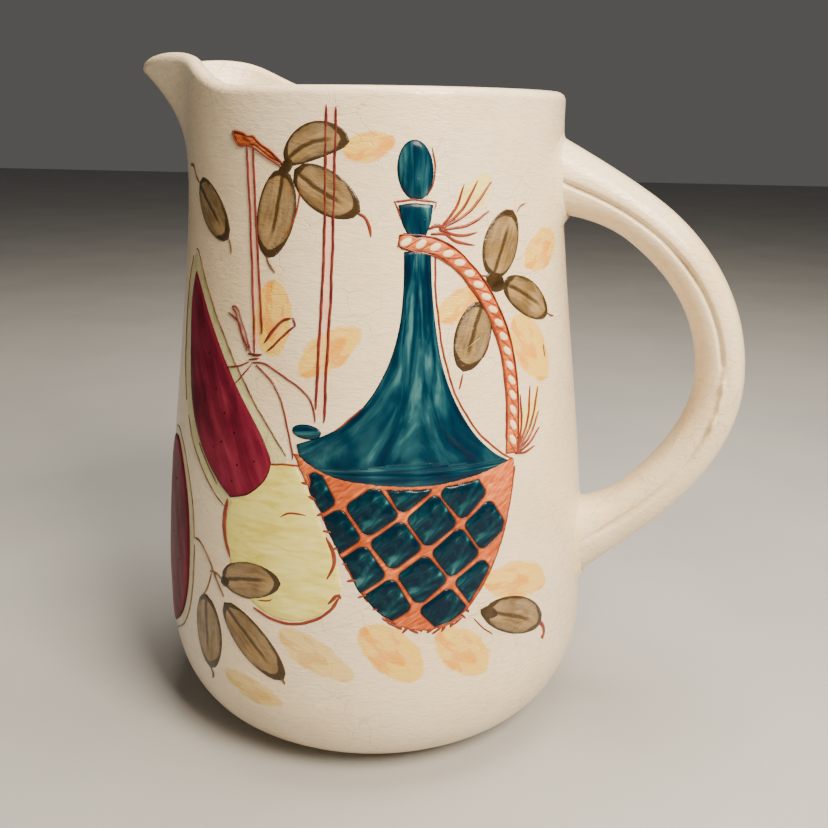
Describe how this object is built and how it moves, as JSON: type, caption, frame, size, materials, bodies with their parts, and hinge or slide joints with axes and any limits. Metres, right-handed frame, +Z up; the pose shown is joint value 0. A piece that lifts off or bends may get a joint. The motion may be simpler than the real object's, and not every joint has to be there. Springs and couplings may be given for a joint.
{
  "type": "ceramic pitcher",
  "caption": "Ivory glazed ceramic pitcher with a drawn-up pouring lip, a loop handle stuck on with slip, and a raised enamel still life of a bottle in a basket, fruit and leaves.",
  "frame": {"origin": "on the body's axis, in the plane that the foot ring stands on", "axes": "+Z up along the body's axis, +X towards the handle, so the lip pours towards -X; the still life is on the -Y side"},
  "size_m": [0.1904, 0.1411, 0.2098],
  "materials": {
    "glaze": "gloss",
    "bare_clay": "matte",
    "teal_enamel": "gloss",
    "coral_enamel": "gloss",
    "crimson_enamel": "gloss",
    "straw_enamel": "gloss",
    "olive_enamel": "gloss",
    "ochre_wash": "gloss",
    "rust_line": "gloss",
    "brown_line": "gloss"
  },
  "bodies": {
    "root": {"body": "glaze", "foot_ring": "bare_clay", "handle": "glaze", "upper_slip_joint": "glaze", "lower_slip_joint": "glaze", "bottle_enamel": "teal_enamel", "bottle_stopper": "teal_enamel", "bottle_collar": "teal_enamel", "basket_weave": "coral_enamel", "basket_cells": "teal_enamel", "carrying_rope": "coral_enamel", "rope_tassels": "rust_line", "fruit_slices": "crimson_enamel", "slice_rinds": "brown_line", "round_fruit": "straw_enamel", "olive_leaves": "olive_enamel", "leaf_stems": "brown_line", "ochre_leaves": "ochre_wash", "string_pairs": "rust_line", "string_bow": "rust_line"}
  },
  "joints": []
}
